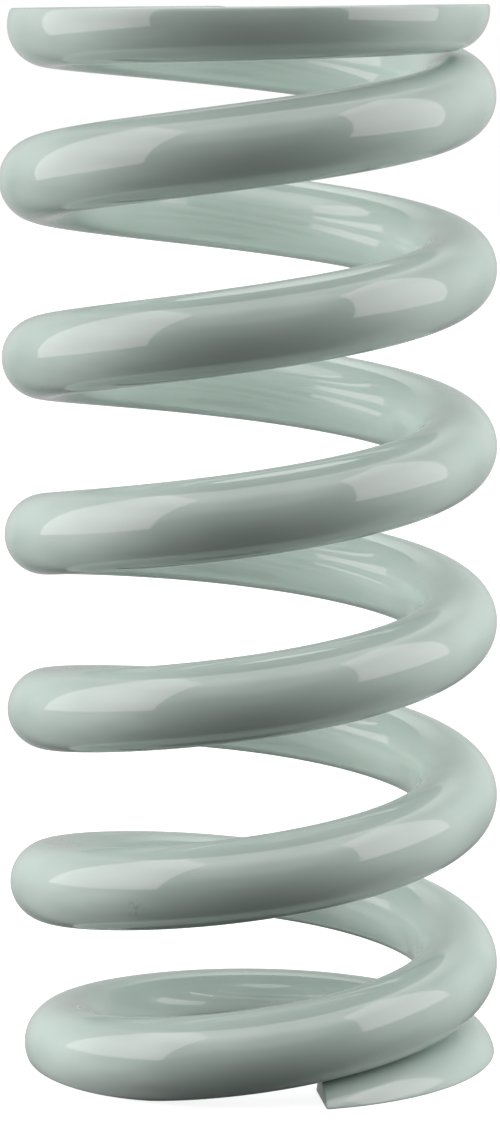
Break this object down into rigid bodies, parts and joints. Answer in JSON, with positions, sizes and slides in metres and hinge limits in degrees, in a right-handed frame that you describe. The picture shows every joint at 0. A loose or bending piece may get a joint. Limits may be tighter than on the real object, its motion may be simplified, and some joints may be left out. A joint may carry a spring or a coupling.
{
  "type": "shock absorber spring",
  "caption": "Right-hand coil compression spring of round wire with closed, ground ends, painted pale grey-green; it carries a vehicle's weight round its damper.",
  "frame": {"origin": "centre of the coil on the lower ground face", "axes": "+Z along the coil's axis, towards the upper ground face"},
  "size_m": [0.095, 0.095, 0.2032],
  "materials": {
    "powder_coat": "gloss powder coat, pale grey-green"
  },
  "bodies": {
    "root": {"coil_spring": "powder_coat"}
  },
  "joints": []
}
